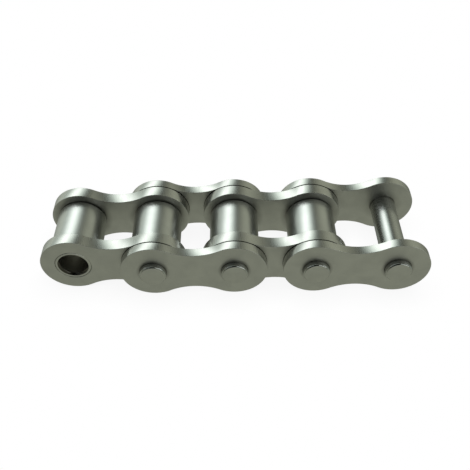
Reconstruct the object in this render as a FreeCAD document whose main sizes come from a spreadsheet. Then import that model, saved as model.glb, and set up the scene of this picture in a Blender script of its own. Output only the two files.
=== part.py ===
import FreeCAD, Part
import math
import os
import Sketcher

# A short length of single-strand stainless roller chain, lying straight.
# X runs along the chain, Y along the pins with the front at -Y, and Z points up.
# The origin is on the surface that the chain lies on, under the middle pin, where
# the left half of the chain, an inner and an outer link, meets the right half.
# All sizes are in millimetres.

DRIVING_SIZES = [
    ("pitch", "25.4", "from one pin axis to the next"),
    ("roller_wall", "2.19", "wall of a roller, from its bore to its outside"),
    ("roller_end_play", "0.35", "gap between a roller's end and the inner plate beside it"),
    ("roller_clearance", "0.05", "radial gap between a roller and its bush"),
    ("roller_rim_radius", "0.5", "rounding of a roller's outer rims"),
    ("roller_bore_chamfer", "0.3", "chamfer at the mouths of a roller's bore"),
    ("inner_width", "17.2", "between the two plates of an inner link"),
    ("inner_plate_thickness", "4.05", "thickness of an inner plate"),
    ("outer_plate_thickness", "3.05", "thickness of an outer plate"),
    ("link_clearance", "0.25", "gap between an inner plate and the outer plate beside it"),
    ("plate_height", "20.4", "height of a plate at its round ends"),
    ("waist_height", "14.1", "height of a plate at its narrow middle"),
    ("plate_edge_radius", "0.25", "rounding left on the sheared edges of a plate"),
    ("pin_diameter", "8.28", "outside of a pin"),
    ("pin_projection", "1.9", "how far a pin's end stands out of the outer plate"),
    ("pin_chamfer", "0.4", "chamfer at a pin's ends"),
    ("pin_clearance", "0.025", "radial gap between a pin and its bush"),
    ("bush_wall", "1.535", "wall of a bush, from its bore to its outside"),
    ("bush_countersink", "0.7", "depth and reach of the countersink at a bush's mouths"),
    ("bush_edge_radius", "0.15", "rounding of a bush's outer rims"),
]

# The strand has two inner and two outer links, which take turns from left to right.
LINKS_OF_EACH_KIND = 2
# Pin stations count from 0 at the left end, and the middle one lies over the origin.
MIDDLE_STATION = LINKS_OF_EACH_KIND

doc = FreeCAD.newDocument("RollerChain")

sizes = doc.addObject("Spreadsheet::Sheet", "Sizes")
for row, (alias, value, meaning) in enumerate(DRIVING_SIZES, start=1):
    sizes.set(f"A{row}", alias)
    sizes.set(f"B{row}", value)
    sizes.set(f"C{row}", meaning)
    sizes.setAlias(f"B{row}", alias)
doc.recompute()

# The lobes of a plate are joined by two hollow arcs, tangent to both lobes, which
# leave the waist height between them. This is the radius of those arcs, and the same
# as a number below, for drawing each arc close to where it will be.
WAIST_RADIUS = (
    "((Sizes.pitch / 2)^2 + (Sizes.waist_height / 2)^2 - (Sizes.plate_height / 2)^2)"
    " / (Sizes.plate_height - Sizes.waist_height)"
)
LOBE_RADIUS = "Sizes.plate_height / 2"
lobe_radius = sizes.plate_height / 2
half_waist = sizes.waist_height / 2
waist_radius = (
    ((sizes.pitch / 2) ** 2 + half_waist**2 - lobe_radius**2)
    / (2 * (lobe_radius - half_waist))
)

# Half of the width over the inner plates, and between and over the outer plates.
HALF_OVER_INNER = "(Sizes.inner_width / 2 + Sizes.inner_plate_thickness)"
HALF_INSIDE_OUTER = f"({HALF_OVER_INNER} + Sizes.link_clearance)"
HALF_OVER_OUTER = f"({HALF_INSIDE_OUTER} + Sizes.outer_plate_thickness)"

# How far the middle of each kind of plate stands from the chain's own mid-plane.
INNER_PLATE_OFFSET = "(Sizes.inner_width + Sizes.inner_plate_thickness) / 2"
OUTER_PLATE_OFFSET = f"({HALF_INSIDE_OUTER} + Sizes.outer_plate_thickness / 2)"

# Lengths along Y.
BUSH_LENGTH = f"2 * {HALF_OVER_INNER}"
PIN_LENGTH = f"2 * ({HALF_OVER_OUTER} + Sizes.pin_projection)"
ROLLER_LENGTH = "Sizes.inner_width - 2 * Sizes.roller_end_play"

# Diameters about a pin station, from the pin outwards: each turns on the one inside it.
PIN_OUTSIDE = "Sizes.pin_diameter"
BUSH_BORE = f"{PIN_OUTSIDE} + 2 * Sizes.pin_clearance"
BUSH_OUTSIDE = f"{BUSH_BORE} + 2 * Sizes.bush_wall"
ROLLER_BORE = f"{BUSH_OUTSIDE} + 2 * Sizes.roller_clearance"
ROLLER_OUTSIDE = f"{ROLLER_BORE} + 2 * Sizes.roller_wall"

# The same diameters as numbers, for drawing each circle close to where it will be.
pin_outside = sizes.pin_diameter
bush_bore = pin_outside + 2 * sizes.pin_clearance
bush_outside = bush_bore + 2 * sizes.bush_wall
roller_bore = bush_outside + 2 * sizes.roller_clearance
roller_outside = roller_bore + 2 * sizes.roller_wall

# Names of the points of an arc or circle in a sketch.
START = 1
END = 2
CENTRE = 3
# The sketch's own X axis, whose first point is the sketch's origin.
SKETCH_X_AXIS = -1

NEAR = 1e-6


def new_body(label, station, offset="0"):
    """A sub-part whose own Y axis lies on a pin station, offset along that axis."""
    body = doc.addObject("PartDesign::Body", label)
    body.Label = label
    body.setExpression("Placement.Base.x", f"{station - MIDDLE_STATION} * Sizes.pitch")
    body.setExpression("Placement.Base.y", offset)
    body.setExpression("Placement.Base.z", LOBE_RADIUS)
    return body


def new_sketch(body, name):
    """A sketch in the plane across the pins, through the body's own origin."""
    sketch = body.newObject("Sketcher::SketchObject", f"{body.Label}_{name}")
    planes = [item for item in body.Origin.OriginFeatures if item.Role == "XZ_Plane"]
    sketch.AttachmentSupport = [(planes[0], "")]
    sketch.MapMode = "FlatFace"
    return sketch


def bind(sketch, name, constraint, expression):
    """Add a dimension to a sketch and tie it to the sheet."""
    index = sketch.addConstraint(constraint)
    sketch.renameConstraint(index, name)
    sketch.setExpression(f"Constraints.{name}", expression)


def add_circle(sketch, name, diameter, first_guess, x=0.0):
    """A circle whose diameter is tied to the sheet; its centre is fixed by the caller."""
    centre = FreeCAD.Vector(x, 0, 0)
    circle = sketch.addGeometry(Part.Circle(centre, FreeCAD.Vector(0, 0, 1), first_guess / 2))
    bind(sketch, name, Sketcher.Constraint("Diameter", circle, first_guess), diameter)
    return circle


def centre_on_origin(sketch, geometry):
    """Put the centre of an arc or circle on the sketch's origin."""
    sketch.addConstraint(Sketcher.Constraint("Coincident", geometry, CENTRE, SKETCH_X_AXIS, START))


def pad_both_ways(body, sketch, name, length):
    """Give a sketch its thickness, half to each side of its plane."""
    pad = body.newObject("PartDesign::Pad", f"{body.Label}_{name}")
    pad.Profile = sketch
    pad.SideType = "Symmetric"
    pad.setExpression("Length", length)
    doc.recompute()
    return pad


def edges_where(feature, wanted):
    """Names of the feature's edges for which wanted(edge) is true."""
    return [f"Edge{n}" for n, edge in enumerate(feature.Shape.Edges, start=1) if wanted(edge)]


def is_rim(edge, radius):
    """True for a whole circle of this radius about the piece's own axis."""
    return isinstance(edge.Curve, Part.Circle) and edge.isClosed() and abs(edge.Curve.Radius - radius) < NEAR


def round_edges(body, base, name, edges, radius):
    """Fillet the named edges of the base feature."""
    fillet = body.newObject("PartDesign::Fillet", f"{body.Label}_{name}")
    fillet.Base = (base, edges)
    fillet.setExpression("Radius", radius)
    doc.recompute()
    return fillet


def chamfer_edges(body, base, name, edges, size):
    """Chamfer the named edges of the base feature at 45 degrees."""
    chamfer = body.newObject("PartDesign::Chamfer", f"{body.Label}_{name}")
    chamfer.Base = (base, edges)
    chamfer.setExpression("Size", size)
    doc.recompute()
    return chamfer


def draw_plate_outline(body):
    """Outline of a link plate: two round lobes and two hollow waist arcs between them."""
    sketch = new_sketch(body, "outline")
    half_pitch = sizes.pitch / 2
    # Height of the waist arcs' centres, and how steeply a lobe's centre sees one.
    rise = half_waist + waist_radius
    lean = math.atan2(rise, half_pitch)

    def arc(x, z, radius, first, last):
        circle = Part.Circle(FreeCAD.Vector(x, z, 0), FreeCAD.Vector(0, 0, 1), radius)
        return sketch.addGeometry(Part.ArcOfCircle(circle, first, last))

    left = arc(0, 0, lobe_radius, lean, 2 * math.pi - lean)
    upper = arc(half_pitch, rise, waist_radius, math.pi + lean, 2 * math.pi - lean)
    right = arc(sizes.pitch, 0, lobe_radius, lean - math.pi, math.pi - lean)
    lower = arc(half_pitch, -rise, waist_radius, lean, math.pi - lean)

    for one, one_end, other, other_end in (
        (left, START, upper, START),
        (upper, END, right, END),
        (right, START, lower, START),
        (lower, END, left, END),
    ):
        sketch.addConstraint(Sketcher.Constraint("Tangent", one, one_end, other, other_end))

    centre_on_origin(sketch, left)
    sketch.addConstraint(Sketcher.Constraint("PointOnObject", right, CENTRE, SKETCH_X_AXIS))
    sketch.addConstraint(Sketcher.Constraint("Equal", left, right))
    sketch.addConstraint(Sketcher.Constraint("Equal", upper, lower))
    along = Sketcher.Constraint("DistanceX", left, CENTRE, right, CENTRE, sizes.pitch)
    bind(sketch, "pitch", along, "Sizes.pitch")
    bind(sketch, "lobe_radius", Sketcher.Constraint("Radius", left, lobe_radius), LOBE_RADIUS)
    bind(sketch, "waist_radius", Sketcher.Constraint("Radius", upper, waist_radius), WAIST_RADIUS)
    return sketch


def draw_plate_holes(body, diameter, first_guess):
    """The two holes of a link plate, one pitch apart."""
    sketch = new_sketch(body, "holes")
    left = add_circle(sketch, "left_hole", diameter, first_guess)
    right = add_circle(sketch, "right_hole", diameter, first_guess, sizes.pitch)
    centre_on_origin(sketch, left)
    sketch.addConstraint(Sketcher.Constraint("PointOnObject", right, CENTRE, SKETCH_X_AXIS))
    along = Sketcher.Constraint("DistanceX", left, CENTRE, right, CENTRE, sizes.pitch)
    bind(sketch, "pitch", along, "Sizes.pitch")
    return sketch


def make_plate(label, station, offset, thickness, half_thickness, hole, hole_guess):
    """A link plate: sheared from strip, punched with two holes, its edges tumbled round."""
    body = new_body(label, station, offset)
    blank = pad_both_ways(body, draw_plate_outline(body), "blank", thickness)

    punched = body.newObject("PartDesign::Pocket", f"{label}_punched")
    punched.Profile = draw_plate_holes(body, hole, hole_guess)
    punched.SideType = "Symmetric"
    punched.setExpression("Length", f"2 * {thickness}")
    doc.recompute()
    if punched.Shape.Volume >= blank.Shape.Volume:
        raise RuntimeError(f"the holes of {label} cut nothing")

    def on_a_flat_side(edge):
        box = edge.BoundBox
        return box.YLength < NEAR and abs(abs(box.YMin) - half_thickness) < NEAR

    sheared = edges_where(punched, on_a_flat_side)
    round_edges(body, punched, "tumbled", sheared, "Sizes.plate_edge_radius")
    return body


def draw_ring(body, outside, outside_guess, bore, bore_guess):
    """Two circles about the piece's own axis."""
    sketch = new_sketch(body, "ring")
    outer = add_circle(sketch, "outside", outside, outside_guess)
    inner = add_circle(sketch, "bore", bore, bore_guess)
    centre_on_origin(sketch, outer)
    centre_on_origin(sketch, inner)
    return sketch


def make_bush(label, station):
    """A turned bush, pressed into both inner plates, flush, with countersunk mouths."""
    body = new_body(label, station)
    ring = draw_ring(body, BUSH_OUTSIDE, bush_outside, BUSH_BORE, bush_bore)
    tube = pad_both_ways(body, ring, "tube", BUSH_LENGTH)
    mouths = edges_where(tube, lambda edge: is_rim(edge, bush_bore / 2))
    sunk = chamfer_edges(body, tube, "countersunk", mouths, "Sizes.bush_countersink")
    rims = edges_where(sunk, lambda edge: is_rim(edge, bush_outside / 2))
    round_edges(body, sunk, "rims", rims, "Sizes.bush_edge_radius")
    return body


def make_roller(label, station):
    """A hardened roller that turns on its bush, between the inner plates."""
    body = new_body(label, station)
    ring = draw_ring(body, ROLLER_OUTSIDE, roller_outside, ROLLER_BORE, roller_bore)
    tube = pad_both_ways(body, ring, "tube", ROLLER_LENGTH)
    mouths = edges_where(tube, lambda edge: is_rim(edge, roller_bore / 2))
    eased = chamfer_edges(body, tube, "eased", mouths, "Sizes.roller_bore_chamfer")
    rims = edges_where(eased, lambda edge: is_rim(edge, roller_outside / 2))
    round_edges(body, eased, "rims", rims, "Sizes.roller_rim_radius")
    return body


def make_pin(label, station):
    """A ground pin, pressed into both outer plates, with plain chamfered ends."""
    body = new_body(label, station)
    sketch = new_sketch(body, "section")
    centre_on_origin(sketch, add_circle(sketch, "outside", PIN_OUTSIDE, pin_outside))
    rod = pad_both_ways(body, sketch, "rod", PIN_LENGTH)
    rims = edges_where(rod, lambda edge: is_rim(edge, pin_outside / 2))
    chamfer_edges(body, rod, "ends", rims, "Sizes.pin_chamfer")
    return body


def make_plates(kind, number, station, offset, hole, hole_guess):
    """The front and rear plate of one link."""
    thickness = f"Sizes.{kind}_plate_thickness"
    half_thickness = sizes.get(f"{kind}_plate_thickness") / 2
    return [
        make_plate(f"{kind}_plate_{number}_{side}", station, f"{sign} * {offset}",
                   thickness, half_thickness, hole, hole_guess)
        for side, sign in (("front", -1), ("rear", 1))
    ]


# The sub-parts, from left to right. An inner link starts the strand at station 0, an
# outer link ends it, and every station but the last has a bush and a roller. Every
# station but the first has a pin, so the first bush is open and the last pin is bare.
parts = []
for number in range(1, LINKS_OF_EACH_KIND + 1):
    inner_station = 2 * (number - 1)
    outer_station = inner_station + 1
    parts += make_plates("inner", number, inner_station, INNER_PLATE_OFFSET,
                         BUSH_OUTSIDE, bush_outside)
    parts += make_plates("outer", number, outer_station, OUTER_PLATE_OFFSET,
                         PIN_OUTSIDE, pin_outside)
for number in range(1, 2 * LINKS_OF_EACH_KIND + 1):
    parts.append(make_bush(f"bush_{number}", number - 1))
    parts.append(make_roller(f"roller_{number}", number - 1))
    parts.append(make_pin(f"pin_{number}", number))
doc.recompute()

for item in doc.Objects:
    if "Invalid" in item.State or "Error" in item.State:
        raise RuntimeError(f"{item.Label} did not build: {item.State}")
for part in parts:
    if part.Shape.isNull() or not part.Shape.isValid() or len(part.Shape.Solids) != 1:
        raise RuntimeError(f"{part.Label} is not one sound solid")

os.makedirs("parts", exist_ok=True)
for part in parts:
    part.Shape.exportStep(f"parts/{part.Label}.step")
print(f"{len(parts)} sub-parts written")
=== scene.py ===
import math

import bmesh
import bpy
from mathutils import Matrix, Vector


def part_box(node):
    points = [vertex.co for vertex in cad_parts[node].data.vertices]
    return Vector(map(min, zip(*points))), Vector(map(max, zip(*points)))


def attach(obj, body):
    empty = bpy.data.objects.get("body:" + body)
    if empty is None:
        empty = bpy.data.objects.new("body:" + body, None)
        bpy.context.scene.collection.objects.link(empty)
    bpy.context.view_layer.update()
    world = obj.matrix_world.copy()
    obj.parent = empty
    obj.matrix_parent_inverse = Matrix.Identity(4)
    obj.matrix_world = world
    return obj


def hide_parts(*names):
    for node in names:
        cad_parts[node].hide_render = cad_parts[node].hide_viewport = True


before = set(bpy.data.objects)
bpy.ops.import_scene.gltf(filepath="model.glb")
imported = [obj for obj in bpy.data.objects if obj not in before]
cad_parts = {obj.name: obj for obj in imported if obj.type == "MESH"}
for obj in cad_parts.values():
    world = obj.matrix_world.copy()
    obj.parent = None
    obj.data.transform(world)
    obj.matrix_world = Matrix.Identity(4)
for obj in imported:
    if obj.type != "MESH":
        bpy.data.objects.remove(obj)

bpy.ops.object.select_all(action="DESELECT")
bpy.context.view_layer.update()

# The camera, as the photograph was taken: from the front, looking down at 46 degrees from
# about 21 cm away, through a lens of 49 mm.
CAMERA_PLACE = (0.000073, -0.147, 0.159892)
CAMERA_YAW, CAMERA_PITCH, CAMERA_ROLL = 0.00139, -0.79538, -0.01332
LENS, FILM_WIDTH = 48.917, 36.0
aim = (
    Matrix.Rotation(-CAMERA_YAW, 4, "Z")
    @ Matrix.Rotation(math.pi / 2 + CAMERA_PITCH, 4, "X")
    @ Matrix.Rotation(CAMERA_ROLL, 4, "Z")
)
bpy.ops.object.camera_add(location=CAMERA_PLACE, rotation=aim.to_euler())
camera = bpy.context.object
camera.name = "camera"
camera.data.sensor_width = FILM_WIDTH
camera.data.lens = LENS
camera.data.clip_start = 0.005
bpy.context.scene.camera = camera
bpy.context.scene.view_settings.view_transform = "Standard"

# The studio: a large soft box high up behind, white on its left, with olive-grey walls and a
# dark flag high up in front, which the steel mirrors. The camera itself sees only white.
OLIVE = (0.95, 1.0, 0.80)
GREY = (0.93, 1.0, 0.88)
WHITE = (0.945, 1.0, 0.985)
PALE_GREEN = (0.87, 1.0, 0.92)
# How bright each band of the studio is, as (degrees from straight up towards the right, level,
# tint). The bands are rings round the pins' direction, from behind the chain to in front of it.
BEHIND = (
    (-180, 0.16, OLIVE), (-150, 0.25, GREY), (-120, 0.44, GREY), (-100, 0.65, GREY),
    (-80, 0.8, GREY), (-70, 0.6, PALE_GREEN), (-60, 0.65, PALE_GREEN), (-50, 1.3, PALE_GREEN),
    (-40, 2.25, WHITE), (-30, 2.7, WHITE), (-20, 2.55, WHITE), (-10, 1.75, PALE_GREEN),
    (0, 0.7, PALE_GREEN), (10, 0.1, PALE_GREEN), (20, 0.15, OLIVE), (40, 0.39, OLIVE),
    (60, 0.52, OLIVE), (80, 0.46, OLIVE), (100, 0.34, OLIVE), (130, 0.2, OLIVE),
)
BESIDE = (
    (-180, 0.38, OLIVE), (-80, 0.35, OLIVE), (-55, 0.42, PALE_GREEN), (-30, 0.52, PALE_GREEN),
    (-10, 0.35, PALE_GREEN), (10, 0.2, OLIVE), (40, 0.22, OLIVE), (80, 0.42, PALE_GREEN),
    (130, 0.38, OLIVE),
)
FRONT_LOW = (
    (-180, 0.36, OLIVE), (-120, 0.24, OLIVE), (-60, 0.06, OLIVE), (-20, 0, OLIVE), (20, 0, OLIVE),
    (60, 0.12, OLIVE), (100, 0.31, OLIVE), (140, 0.37, OLIVE),
)
FRONT = (
    (-180, 0.34, OLIVE), (-150, 0.35, OLIVE), (-120, 0.22, OLIVE), (-90, 0.09, OLIVE),
    (-60, 0, OLIVE), (0, 0.01, OLIVE), (30, 0.12, OLIVE), (60, 0.25, OLIVE), (100, 0.34, OLIVE),
    (150, 0.36, OLIVE),
)
FAR_BEHIND = (0.46, GREY)
FAR_FRONT = (0.55, GREY)


def add_node(tree, kind, inputs=None, **settings):
    """Adds a shader node. Each input is another node's output socket, or a plain value."""
    node = tree.nodes.new("ShaderNode" + kind)
    for name, value in settings.items():
        setattr(node, name, value)
    for key, value in (inputs or {}).items():
        if isinstance(value, bpy.types.NodeSocket):
            tree.links.new(value, node.inputs[key])
        else:
            node.inputs[key].default_value = value
    return node


def blend_colour(tree, factor, first, second):
    """The first colour where factor is 0, the second where it is 1. The Mix node's sockets 6
    and 7 are its two colours."""
    return add_node(tree, "Mix", {"Factor": factor, 6: first, 7: second}, data_type="RGBA").outputs[2]


def shade(level, tint):
    """A colour of the studio: the tint at that level."""
    return (*(level * part for part in tint), 1.0)


def light_band(turn, stops):
    """The light of one band, run round the pins' direction from stop to stop. The turn goes
    from 0 to 1, and it is 0.5 straight up."""
    band = add_node(sky, "ValToRGB", {0: turn})
    marks = band.color_ramp.elements
    marks.remove(marks[1])
    marks[0].position = 0.0
    for degrees, level, tint in (*stops[1:], (180, *stops[0][1:])):
        marks.new(degrees / 360 + 0.5).color = shade(level, tint)
    marks[0].color = shade(*stops[0][1:])
    return band.outputs[0]


def next_band(low, high, nearer, farther):
    """Passes from the nearer band to the farther one between two values of Y, which is -1
    straight in front of the chain and 1 straight behind it."""
    step = add_node(sky, "MapRange", {"Value": way.outputs["Y"], "From Min": low, "From Max": high},
                    interpolation_type="SMOOTHSTEP").outputs["Result"]
    return blend_colour(sky, step, nearer, farther)


world = bpy.data.worlds.new("studio")
world.use_nodes = True
bpy.context.scene.world = world
sky = world.node_tree
sky.nodes.clear()
way = add_node(sky, "SeparateXYZ", {0: add_node(sky, "TexCoord").outputs["Generated"]})
angle = add_node(sky, "Math", {0: way.outputs["X"], 1: way.outputs["Z"]}, operation="ARCTAN2")
turn = add_node(sky, "Math", {0: angle.outputs[0], 1: 1 / (2 * math.pi), 2: 0.5},
                operation="MULTIPLY_ADD").outputs[0]
# The soft box behind isn't quite square to the chain: it leans to the right the farther it is.
LEAN, LEAN_START = -0.11, 0.077
lean = add_node(sky, "Math", {0: way.outputs["Y"], 1: LEAN, 2: LEAN_START}, operation="MULTIPLY_ADD")
leaning = add_node(sky, "Math", {0: turn, 1: lean.outputs[0]}, operation="ADD")
leaning = add_node(sky, "Math", {0: leaning.outputs[0], 1: 1.0}, operation="FLOORED_MODULO")
room = next_band(-0.96, -0.86, shade(*FAR_FRONT), light_band(turn, FRONT))
room = next_band(-0.68, -0.60, room, light_band(turn, FRONT_LOW))
room = next_band(-0.45, -0.25, room, light_band(turn, BESIDE))
room = next_band(0.25, 0.45, room, light_band(leaning.outputs[0], BEHIND))
room = next_band(0.86, 0.96, room, shade(*FAR_BEHIND))
seen = add_node(sky, "LightPath").outputs["Is Camera Ray"]
mirrored = add_node(sky, "Background", {"Color": room})
white = add_node(sky, "Background", {"Color": (1.0, 1.0, 1.0, 1.0)})
both = add_node(sky, "MixShader", {0: seen, 1: mirrored.outputs[0], 2: white.outputs[0]})
add_node(sky, "OutputWorld", {"Surface": both.outputs[0]})

# Narrow soft boxes: the ones in front put a thin bright arc on each pin's chamfer, and the
# others light the chain's top and ends. Their places and sizes are in degrees, as seen from it.
BOX_DISTANCE = 0.8
for name, azimuth, elevation, roll, width, height, strength in (
    ("strip_front_right", 134, 24, -49, 55, 6, 1.1),
    ("strip_front_left", -134, 24, 49, 50, 5, 0.35),
    ("soft_box_top", 0, 90, 0, 30, 8, 0.6),
    ("soft_box_left_end", -90, 30, 0, 10, 30, 1.1),
    ("soft_box_right_end", 90, 30, 0, 10, 30, 1.9),
):
    across, up = math.radians(azimuth), math.radians(elevation)
    out = Vector((math.sin(across) * math.cos(up), math.cos(across) * math.cos(up), math.sin(up)))
    facing = out.to_track_quat("Z", "Y").to_matrix() @ Matrix.Rotation(math.radians(roll), 3, "Z")
    bpy.ops.object.light_add(type="AREA", location=out * BOX_DISTANCE, rotation=facing.to_euler())
    box = bpy.context.object
    box.name = name
    box.data.shape = "RECTANGLE"
    box.data.size = 2 * BOX_DISTANCE * math.tan(math.radians(width / 2))
    box.data.size_y = 2 * BOX_DISTANCE * math.tan(math.radians(height / 2))
    box.data.energy = strength * math.pi * box.data.size * box.data.size_y
    box.data.color = WHITE
    box.visible_camera = False

# The floor: a plain pale sheet with a painted shadow that darkens it a little where the chain
# stands on it. It lets the camera through, so that a link that hangs down below it stays in sight.
MM = 0.001
FLOOR_SIZE = 4.0
SHADE_REACH = 10 * MM
bpy.ops.mesh.primitive_plane_add(size=FLOOR_SIZE, location=(0, 0, 0))
floor = bpy.context.object
floor.name = "floor"
floor.visible_glossy = False
floor.visible_shadow = False
pale_sheet = bpy.data.materials.new("pale_sheet")
pale_sheet.use_nodes = True
tree = pale_sheet.node_tree
tree.nodes.clear()
open_sky = add_node(tree, "AmbientOcclusion", {"Distance": SHADE_REACH}, samples=16)
# Painted shadow: the sheet's colour falls to 0.88 where ambient occlusion finds the chain near.
pale = add_node(tree, "MapRange", {"Value": open_sky.outputs["AO"], "To Min": 0.88, "To Max": 1.0})
clear = add_node(tree, "BsdfTransparent", {"Color": pale.outputs[0]})
add_node(tree, "OutputMaterial", {"Surface": clear.outputs[0]})
floor.data.materials.append(pale_sheet)

# The inner link plates: waisted plates punched from stainless strip, rounded over on the side
# that the punch came in from and sharper on the other, then tumbled to a matte grey. The same
# steel, and the same way of shaping a part, serve the rest of the chain.
TINY = 0.002 * MM
PITCH_LENGTH = 25.4 * MM
WAIST_HEIGHT = 14.1 * MM
PUNCHED_ROUNDING = 0.14 * MM
BROKEN_EDGE = 0.08 * MM
HOLE_ROUNDING = 0.16 * MM
RIM_BORDER = 0.5 * MM
HOLE_BORDER = 0.3 * MM


def select_by_place(test, kind):
    """In edit mode, selects the vertices or edges that pass a test of their middle."""
    bpy.ops.mesh.select_mode(type=kind)
    bpy.ops.mesh.select_all(action="DESELECT")
    mesh = bmesh.from_edit_mesh(bpy.context.object.data)
    for element in mesh.verts if kind == "VERT" else mesh.edges:
        points = [element] if kind == "VERT" else element.verts
        middle = sum((point.co for point in points), Vector()) / len(points)
        if test(middle, element):
            element.select_set(True)
    bmesh.update_edit_mesh(bpy.context.object.data)


def spin_section(name, low, high, roundings, open_side, turns):
    """A part swept from a flat section in the XY plane: a rectangle from low to high whose
    corners (x, y, rounding, segments) are rounded, open at x = open_side if that isn't None,
    spun through each (centre, angle, steps) in turn about axes along Y."""
    bpy.ops.object.select_all(action="DESELECT")
    bpy.ops.mesh.primitive_plane_add(size=1.0, location=(0, 0, 0))
    piece = bpy.context.object
    piece.name = name
    bpy.ops.object.mode_set(mode="EDIT")
    bpy.ops.transform.resize(value=(high[0] - low[0], high[1] - low[1], 1.0))
    bpy.ops.transform.translate(value=((low[0] + high[0]) / 2, (low[1] + high[1]) / 2, 0.0))
    for x, y, rounding, segments in roundings:
        select_by_place(lambda m, e: abs(m.x - x) < TINY and abs(m.y - y) < TINY, "VERT")
        bpy.ops.mesh.bevel(offset=rounding, segments=segments, affect="VERTICES")
    bpy.ops.mesh.select_mode(type="FACE")
    bpy.ops.mesh.select_all(action="SELECT")
    bpy.ops.mesh.delete(type="ONLY_FACE")
    if open_side is not None:
        select_by_place(lambda m, e: abs(m.x - open_side) < TINY, "EDGE")
        bpy.ops.mesh.delete(type="EDGE")
    bpy.ops.mesh.select_mode(type="EDGE")
    bpy.ops.mesh.select_all(action="SELECT")
    for centre, angle, steps in turns:
        bpy.ops.mesh.spin(steps=steps, angle=angle, center=centre, axis=(0, 1, 0))
    bpy.ops.mesh.select_all(action="SELECT")
    bpy.ops.mesh.remove_doubles(threshold=TINY / 2)
    bpy.ops.mesh.normals_make_consistent(inside=False)
    bpy.ops.object.mode_set(mode="OBJECT")
    return piece


def punch_plate(name, size, hole_radius, lobe_steps, waist_steps, hole_steps):
    """A waisted plate in the XZ plane with its middle at the origin and its outer face at
    -Y: the section of its rim is spun round the four arcs of the outline, that of each hole
    round the hole, and the two faces are filled between the borders of rim and holes."""
    front, back = -size.y / 2, size.y / 2
    lobe = size.z / 2
    reach = PITCH_LENGTH / 2
    waist = WAIST_HEIGHT / 2
    # The two round lobes run smoothly into the arcs of the waist, whose radius follows from that.
    hollow = (reach**2 + waist**2 - lobe**2) / (2 * (lobe - waist))
    swing = math.atan2(waist + hollow, reach)
    right, left = Vector((reach, 0, 0)), Vector((-reach, 0, 0))
    high, low = Vector((0, 0, waist + hollow)), Vector((0, 0, -waist - hollow))
    tip = reach + lobe
    rim = spin_section(
        name, (tip - RIM_BORDER, front), (tip, back),
        [(tip, front, PUNCHED_ROUNDING, 6), (tip, back, BROKEN_EDGE, 4)], tip - RIM_BORDER,
        [(right, math.pi - swing, lobe_steps), (high, 2 * swing - math.pi, waist_steps),
         (left, 2 * (math.pi - swing), 2 * lobe_steps), (low, 2 * swing - math.pi, waist_steps),
         (right, math.pi - swing, lobe_steps)])
    holes = []
    for centre in (right, left):
        edge = centre.x + hole_radius
        holes.append(spin_section(
            name + "_hole", (edge, front), (edge + HOLE_BORDER, back),
            [(edge, front, HOLE_ROUNDING, 3), (edge, back, HOLE_ROUNDING, 3)], edge + HOLE_BORDER,
            [(centre, 2 * math.pi, hole_steps)]))
    for piece in (*holes, rim):
        piece.select_set(True)
    bpy.context.view_layer.objects.active = rim
    bpy.ops.object.join()
    bpy.ops.object.mode_set(mode="EDIT")
    for side in (front, back):
        select_by_place(lambda m, e: e.is_boundary and abs(m.y - side) < TINY, "EDGE")
        bpy.ops.mesh.fill(use_beauty=True)
    bpy.ops.mesh.select_all(action="SELECT")
    bpy.ops.mesh.normals_make_consistent(inside=False)
    bpy.ops.object.mode_set(mode="OBJECT")
    return rim


def set_in_place(model, node, name, body, turned=False):
    """A copy of the model, with its own mesh, that stands for a CAD node at its place."""
    low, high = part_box(node)
    piece = model.copy()
    piece.data = model.data.copy()
    piece.name = piece.data.name = name
    bpy.context.collection.objects.link(piece)
    place = Matrix.Translation((low + high) / 2)
    piece.data.transform(place @ Matrix.Rotation(math.pi if turned else 0.0, 4, "Z"))
    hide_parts(node)
    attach(piece, body)


def box_size(node):
    """A CAD node's length, depth and height."""
    low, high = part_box(node)
    return high - low


def smooth(piece):
    """Smooth shading where faces meet at under 30 degrees."""
    bpy.ops.object.select_all(action="DESELECT")
    piece.select_set(True)
    bpy.context.view_layer.objects.active = piece
    bpy.ops.object.shade_smooth_by_angle(angle=math.radians(30))


def make_zones():
    """The parts of a turned or punched piece told apart by its own normal: Face is 1 where
    that runs along the pins, and Rim on the roundings between the faces and the sides."""
    group = bpy.data.node_groups.new("zones", "ShaderNodeTree")
    for name in ("Face", "Rim"):
        group.interface.new_socket(name, in_out="OUTPUT", socket_type="NodeSocketFloat")
    normal = add_node(group, "TexCoord").outputs["Normal"]
    along = add_node(group, "SeparateXYZ", {0: normal}).outputs["Y"]
    size = add_node(group, "Math", {0: along}, operation="ABSOLUTE").outputs[0]
    face = add_node(group, "MapRange", {"Value": size, "From Min": 0.80, "From Max": 0.97},
                    interpolation_type="SMOOTHSTEP").outputs[0]
    side = add_node(group, "MapRange", {"Value": size, "From Min": 0.6, "From Max": 0.12},
                    interpolation_type="SMOOTHSTEP").outputs[0]
    either = add_node(group, "Math", {0: face, 1: side}, operation="ADD").outputs[0]
    rim = add_node(group, "Math", {0: 1.0, 1: either}, operation="SUBTRACT").outputs[0]
    out = group.nodes.new("NodeGroupOutput")
    for name, socket in (("Face", face), ("Rim", rim)):
        group.links.new(socket, out.inputs[name])
    return group


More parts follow.
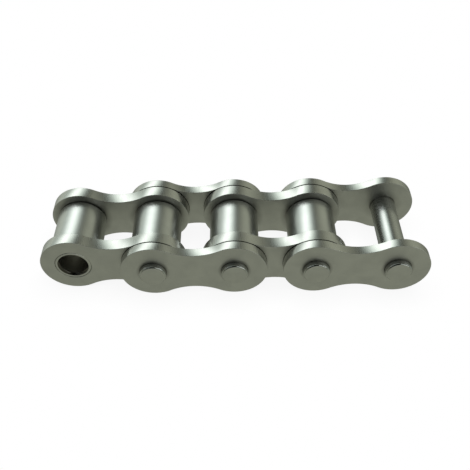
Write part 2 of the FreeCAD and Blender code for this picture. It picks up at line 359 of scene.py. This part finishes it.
def make_painted_shade():
    """Painted shade that darkens the steel: the mask is 1 between an inner and an outer plate, and
    less in the corners round the pins, round the rollers and in the open bush's mouth."""
    group = bpy.data.node_groups.new("painted_shade", "ShaderNodeTree")
    group.interface.new_socket("Painted Shade", in_out="OUTPUT", socket_type="NodeSocketFloat")
    axis_height = sum(corner.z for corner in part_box("pin_1")) / 2
    place = add_node(group, "SeparateXYZ", {0: add_node(group, "TexCoord").outputs["Object"]})
    along = add_node(group, "Math", {0: place.outputs["X"], 1: PITCH_LENGTH / 2, 2: -PITCH_LENGTH / 2},
                     operation="WRAP").outputs[0]
    above = add_node(group, "Math", {0: place.outputs["Z"], 1: axis_height},
                     operation="SUBTRACT").outputs[0]
    offset = add_node(group, "CombineXYZ", {"X": along, "Y": 0.0, "Z": above})
    from_axis = add_node(group, "VectorMath", {0: offset.outputs[0]}, operation="LENGTH").outputs[1]
    from_middle = add_node(group, "Math", {0: place.outputs["Y"]}, operation="ABSOLUTE").outputs[0]

    def between(value, low, high, soft):
        """1 from low to high, and falling to 0 over soft beside them."""
        rise = add_node(group, "MapRange", {"Value": value, "From Min": (low - soft) * MM,
                                            "From Max": low * MM}).outputs[0]
        fall = add_node(group, "MapRange", {"Value": value, "From Min": (high + soft) * MM,
                                            "From Max": high * MM}).outputs[0]
        return add_node(group, "Math", {0: rise, 1: fall}, operation="MULTIPLY").outputs[0]

    # Each spot of painted shade has its darkness, its stretch of the chain, its depth from the
    # chain's middle plane and its distance from the nearest pin's axis. The last three are (from,
    # to, softness of the border), in millimetres.
    left_end = (-90.0, -37.0, 0.1)
    middle_links = (-37.0, 37.0, 0.1)
    right_end = (37.0, 90.0, 0.1)
    whole_chain = (-90.0, 90.0, 0.1)
    between_plates = (1.0, middle_links, (12.58, 12.95, 0.03), (0.0, 10.25, 0.05))
    round_pin_ends = (0.38, whole_chain, (15.85, 15.97, 0.8), (0.0, 4.3, 1.0))
    round_bare_pin = (0.3, right_end, (12.85, 12.95, 1.0), (0.0, 4.3, 2.6))
    open_mouth = (0.97, left_end, (11.9, 12.7, 0.1), (0.0, 4.84, 0.04))
    round_rollers = (0.3, whole_chain, (8.5, 8.7, 0.1), (7.8, 8.4, 1.6))
    total = 0.0
    for dark, stretch, depth, distance in (
        between_plates, round_pin_ends, round_bare_pin, open_mouth, round_rollers,
    ):
        spot = dark
        for value, limits in (
            (place.outputs["X"], stretch), (from_middle, depth), (from_axis, distance),
        ):
            spot = add_node(group, "Math", {0: spot, 1: between(value, *limits)},
                            operation="MULTIPLY").outputs[0]
        total = add_node(group, "Math", {0: total, 1: spot}, operation="MAXIMUM").outputs[0]
    out = group.nodes.new("NodeGroupOutput")
    group.links.new(total, out.inputs["Painted Shade"])
    return group


def make_tumbled_grain():
    """The skin that tumbling in stone leaves: fine grain, cloudy patches and hairlines."""
    group = bpy.data.node_groups.new("tumbled_grain", "ShaderNodeTree")
    group.interface.new_socket("Grain Size", in_out="INPUT", socket_type="NodeSocketFloat")
    for name in ("Grain", "Cloud", "Hairline"):
        group.interface.new_socket(name, in_out="OUTPUT", socket_type="NodeSocketFloat")
    entry = group.nodes.new("NodeGroupInput")
    place = add_node(group, "TexCoord").outputs["Object"]
    scale = add_node(group, "Math", {0: 1.0, 1: entry.outputs["Grain Size"]}, operation="DIVIDE")
    grain = add_node(group, "TexNoise", {"Vector": place, "Scale": scale.outputs[0], "Detail": 4.0,
                                         "Roughness": 0.6}).outputs[0]
    cloud = add_node(group, "TexNoise", {"Vector": place, "Scale": 220.0, "Detail": 5.0,
                                         "Roughness": 0.55, "Distortion": 0.4}).outputs[0]
    lines = []
    for angle in (0.5, 1.9, 2.7):
        along = add_node(group, "Mapping", {"Vector": place, "Rotation": (0.0, angle, 0.0),
                                            "Scale": (90.0, 600.0, 1500.0)}).outputs[0]
        wave = add_node(group, "TexNoise", {"Vector": along, "Scale": 1.0, "Detail": 1.0})
        off = add_node(group, "Math", {0: wave.outputs[0], 1: 0.5}, operation="SUBTRACT")
        far = add_node(group, "Math", {0: off.outputs[0]}, operation="ABSOLUTE").outputs[0]
        lines.append(add_node(group, "MapRange", {"Value": far, "From Min": 0.012,
                                                  "From Max": 0.0}).outputs[0])
    most = lines[0]
    for line in lines[1:]:
        most = add_node(group, "Math", {0: most, 1: line}, operation="MAXIMUM").outputs[0]
    broken = add_node(group, "TexNoise", {"Vector": place, "Scale": 300.0, "Detail": 1.0})
    kept = add_node(group, "MapRange", {"Value": broken.outputs[0], "From Min": 0.52,
                                        "From Max": 0.6}).outputs[0]
    hairline = add_node(group, "Math", {0: most, 1: kept}, operation="MULTIPLY").outputs[0]
    out = group.nodes.new("NodeGroupOutput")
    for name, socket in (("Grain", grain), ("Cloud", cloud), ("Hairline", hairline)):
        group.links.new(socket, out.inputs[name])
    return group


def make_drawn_lines():
    """Fine lines that a tool leaves on a side: Stretch sets how close they are along each
    axis, in lines per metre."""
    group = bpy.data.node_groups.new("drawn_lines", "ShaderNodeTree")
    group.interface.new_socket("Stretch", in_out="INPUT", socket_type="NodeSocketVector")
    group.interface.new_socket("Lines", in_out="OUTPUT", socket_type="NodeSocketFloat")
    entry = group.nodes.new("NodeGroupInput")
    place = add_node(group, "TexCoord").outputs["Object"]
    drawn = add_node(group, "VectorMath", {0: place, 1: entry.outputs["Stretch"]},
                     operation="MULTIPLY").outputs[0]
    lines = add_node(group, "TexNoise", {"Vector": drawn, "Scale": 1.0, "Detail": 3.0,
                                         "Roughness": 0.65}).outputs[0]
    out = group.nodes.new("NodeGroupOutput")
    group.links.new(lines, out.inputs["Lines"])
    return group


zones = make_zones()
painted_shade = make_painted_shade()
tumbled_grain = make_tumbled_grain()
drawn_lines = make_drawn_lines()


def blend_value(tree, factor, first, second):
    """The first value where factor is 0, the second where it is 1. The Mix node's sockets 2
    and 3 are its two values."""
    return add_node(tree, "Mix", {0: factor, 2: first, 3: second}).outputs[0]


def make_steel(name, face, side, rim, stretch, grain_depth, line_depth):
    """Stainless steel whose faces are tumbled and whose sides show a tool's lines. Its faces,
    its sides and the rims between them each have a (base colour, roughness)."""
    steel = bpy.data.materials.new(name)
    steel.use_nodes = True
    tree = steel.node_tree
    shader = tree.nodes["Principled BSDF"]
    zone = add_node(tree, "Group", node_tree=zones)
    painted_shade_node = add_node(tree, "Group", node_tree=painted_shade)
    grain = add_node(tree, "Group", node_tree=tumbled_grain)
    grain.inputs["Grain Size"].default_value = GRAIN_SIZE
    lines = add_node(tree, "Group", node_tree=drawn_lines)
    lines.inputs["Stretch"].default_value = stretch
    is_face = zone.outputs["Face"]
    colour = blend_colour(tree, is_face, (*side[0], 1.0), (*face[0], 1.0))
    colour = blend_colour(tree, zone.outputs["Rim"], colour, (*rim[0], 1.0))
    cloudy = add_node(tree, "MapRange", {"Value": grain.outputs["Cloud"], "From Min": 0.3,
                                         "From Max": 0.7, "To Min": 0.95, "To Max": 1.05})
    tinted = add_node(tree, "VectorMath", {0: colour, 1: cloudy.outputs[0]}, operation="MULTIPLY")
    # Painted shade: darkens the base colour in the seams, round the pins and rollers and in the bush's
    # mouth.
    with_painted_shade = blend_colour(tree, painted_shade_node.outputs["Painted Shade"], tinted.outputs[0], (*PAINTED_SHADE_COLOUR, 1.0))
    tree.links.new(with_painted_shade, shader.inputs["Base Color"])
    patchy = add_node(tree, "MapRange", {"Value": grain.outputs["Cloud"], "From Min": 0.3,
                                         "From Max": 0.7, "To Min": 0.045, "To Max": -0.045})
    streaky = add_node(tree, "MapRange", {"Value": lines.outputs["Lines"], "From Min": 0.3,
                                          "From Max": 0.7, "To Min": -0.03, "To Max": 0.03})
    spread = blend_value(tree, is_face, streaky.outputs[0], patchy.outputs[0])
    level = blend_value(tree, is_face, side[1], face[1])
    level = blend_value(tree, zone.outputs["Rim"], level, rim[1])
    rough = add_node(tree, "Math", {0: level, 1: spread}, operation="ADD").outputs[0]
    scored = add_node(tree, "Math", {0: grain.outputs["Hairline"], 1: is_face},
                      operation="MULTIPLY").outputs[0]
    rubbed = add_node(tree, "Math", {0: scored, 1: -HAIRLINE_SHINE, 2: rough},
                      operation="MULTIPLY_ADD").outputs[0]
    tree.links.new(rubbed, shader.inputs["Roughness"])
    shader.inputs["Metallic"].default_value = 1.0
    grained = add_node(tree, "Math", {0: grain.outputs["Grain"], 1: grain_depth},
                       operation="MULTIPLY").outputs[0]
    cut = add_node(tree, "Math", {0: grain.outputs["Hairline"], 1: -HAIRLINE_DEPTH, 2: grained},
                   operation="MULTIPLY_ADD").outputs[0]
    drawn = add_node(tree, "Math", {0: lines.outputs["Lines"], 1: line_depth},
                     operation="MULTIPLY").outputs[0]
    relief = blend_value(tree, is_face, drawn, cut)
    bump = add_node(tree, "Bump", {"Height": relief, "Distance": 1.0, "Strength": 1.0})
    tree.links.new(bump.outputs[0], shader.inputs["Normal"])
    return steel


# The near-black colour of the painted shade in the seams, corners and the open bush's mouth.
PAINTED_SHADE_COLOUR = (0.07, 0.066, 0.055)
GRAIN_SIZE = 0.28 * MM
HAIRLINE_DEPTH = 0.0015 * MM
HAIRLINE_SHINE = 0.08
PLATE_STEEL = (0.525, 0.525, 0.505)
PUNCHED_STEEL = (0.495, 0.495, 0.47)
plate_steel = make_steel("tumbled_plate_steel", face=(PLATE_STEEL, 0.42), side=(PUNCHED_STEEL, 0.28),
                         rim=(PLATE_STEEL, 0.30), stretch=(1400.0, 80.0, 1400.0),
                         grain_depth=0.004 * MM, line_depth=0.0002 * MM)
inner_plate = punch_plate("inner_plate_model", box_size("inner_plate_1_front"),
                          box_size("bush_1").x / 2, 40, 20, 80)
inner_plate.data.materials.append(plate_steel)
smooth(inner_plate)
for link in ("1", "2"):
    for side in ("front", "rear"):
        set_in_place(inner_plate, f"inner_plate_{link}_{side}", f"inner_link_plate_{link}_{side}",
                     f"inner_link_{link}", turned=side == "rear")
bpy.data.objects.remove(inner_plate)

# The outer link plates: punched from thinner strip of the same steel, to the same outline, and
# tumbled like the inner ones. They are pressed onto the pins' ends, outside the inner plates.
outer_plate = punch_plate("outer_plate_model", box_size("outer_plate_1_front"),
                          box_size("pin_1").x / 2, 40, 20, 64)
outer_plate.data.materials.append(plate_steel)
smooth(outer_plate)
for link in ("1", "2"):
    for side in ("front", "rear"):
        set_in_place(outer_plate, f"outer_plate_{link}_{side}", f"outer_link_plate_{link}_{side}",
                     f"outer_link_{link}", turned=side == "rear")
bpy.data.objects.remove(outer_plate)

# The bushes: hardened steel sleeves, turned with a countersunk mouth at both ends and pressed
# into the inner plates, flush with their outer faces. Only the first is open at its ends, and
# its mouths are darkened with painted shade.
BUSH_BORE = 4.165 * MM
COUNTERSINK = 0.7 * MM
BUSH_ROUNDING = 0.4 * MM
LIP_ROUNDING = 0.1 * MM
BORE_ROUNDING = 0.15 * MM
size = box_size("bush_1")
outside, end = size.x / 2, size.y / 2
corners = [(outside, sign * end, BUSH_ROUNDING, 5) for sign in (-1, 1)]
corners += [(BUSH_BORE, sign * end, COUNTERSINK, 1) for sign in (-1, 1)]
corners += [(BUSH_BORE + COUNTERSINK, sign * end, LIP_ROUNDING, 3) for sign in (-1, 1)]
corners += [(BUSH_BORE, sign * (end - COUNTERSINK), BORE_ROUNDING, 3) for sign in (-1, 1)]
bush = spin_section("bush_model", (BUSH_BORE, -end), (outside, end), corners, None,
                    [(Vector(), 2 * math.pi, 96)])
BORE_STEEL = (0.43, 0.42, 0.385)
bush_steel = make_steel("bush_steel_with_painted_shade", face=(PLATE_STEEL, 0.36), side=(BORE_STEEL, 0.36),
                        rim=(PLATE_STEEL, 0.14), stretch=(150.0, 5000.0, 150.0),
                        grain_depth=0.005 * MM, line_depth=0.001 * MM)
bush.data.materials.append(bush_steel)
smooth(bush)
for number in range(1, 5):
    set_in_place(bush, f"bush_{number}", f"pressed_bush_{number}",
                 f"inner_link_{(number + 1) // 2}")
bpy.data.objects.remove(bush)

# The rollers: hardened steel sleeves, ground on their outsides, that turn freely on the bushes.
# Their well-rounded rims ride into a sprocket's tooth gaps.
ROLLER_BORE = 5.75 * MM
ROLLER_ROUNDING = 0.5 * MM
ROLLER_CHAMFER = 0.3 * MM
size = box_size("roller_1")
outside, end = size.x / 2, size.y / 2
corners = [(outside, sign * end, ROLLER_ROUNDING, 8) for sign in (-1, 1)]
corners += [(ROLLER_BORE, sign * end, ROLLER_CHAMFER, 2) for sign in (-1, 1)]
roller = spin_section("roller_model", (ROLLER_BORE, -end), (outside, end), corners, None,
                      [(Vector(), 2 * math.pi, 120)])
ROLLER_STEEL = (0.525, 0.53, 0.51)
roller_steel = make_steel("ground_roller_steel", face=(PLATE_STEEL, 0.3), side=(ROLLER_STEEL, 0.32),
                          rim=(ROLLER_STEEL, 0.3), stretch=(60.0, 3600.0, 60.0),
                          grain_depth=0.003 * MM, line_depth=0.00022 * MM)
roller.data.materials.append(roller_steel)
smooth(roller)
for number in range(1, 5):
    set_in_place(roller, f"roller_{number}", f"free_roller_{number}", f"roller_{number}")
bpy.data.objects.remove(roller)

# The pins: centreless-ground steel rods pressed through the outer plates, whose chamfered ends
# stand proud of them. The last is bare between its plates, ready for the next inner link.
PIN_CHAMFER = 0.4 * MM
PIN_ROUNDING = 0.1 * MM
size = box_size("pin_1")
outside, end = size.x / 2, size.y / 2
corners = [(outside, sign * end, PIN_CHAMFER, 1) for sign in (-1, 1)]
corners += [(outside - PIN_CHAMFER, sign * end, PIN_ROUNDING, 3) for sign in (-1, 1)]
corners += [(outside, sign * (end - PIN_CHAMFER), PIN_ROUNDING, 3) for sign in (-1, 1)]
pin = spin_section("pin_model", (0.0, -end), (outside, end), corners, 0.0,
                   [(Vector(), 2 * math.pi, 96)])
PIN_STEEL = (0.455, 0.46, 0.445)
pin_steel = make_steel("ground_pin_steel", face=(PLATE_STEEL, 0.4), side=(PIN_STEEL, 0.28),
                       rim=(PIN_STEEL, 0.10), stretch=(60.0, 6000.0, 60.0),
                       grain_depth=0.004 * MM, line_depth=0.00012 * MM)
pin.data.materials.append(pin_steel)
smooth(pin)
for number in range(1, 5):
    set_in_place(pin, f"pin_{number}", f"link_pin_{number}",
                 f"outer_link_{(number + 1) // 2}")
bpy.data.objects.remove(pin)
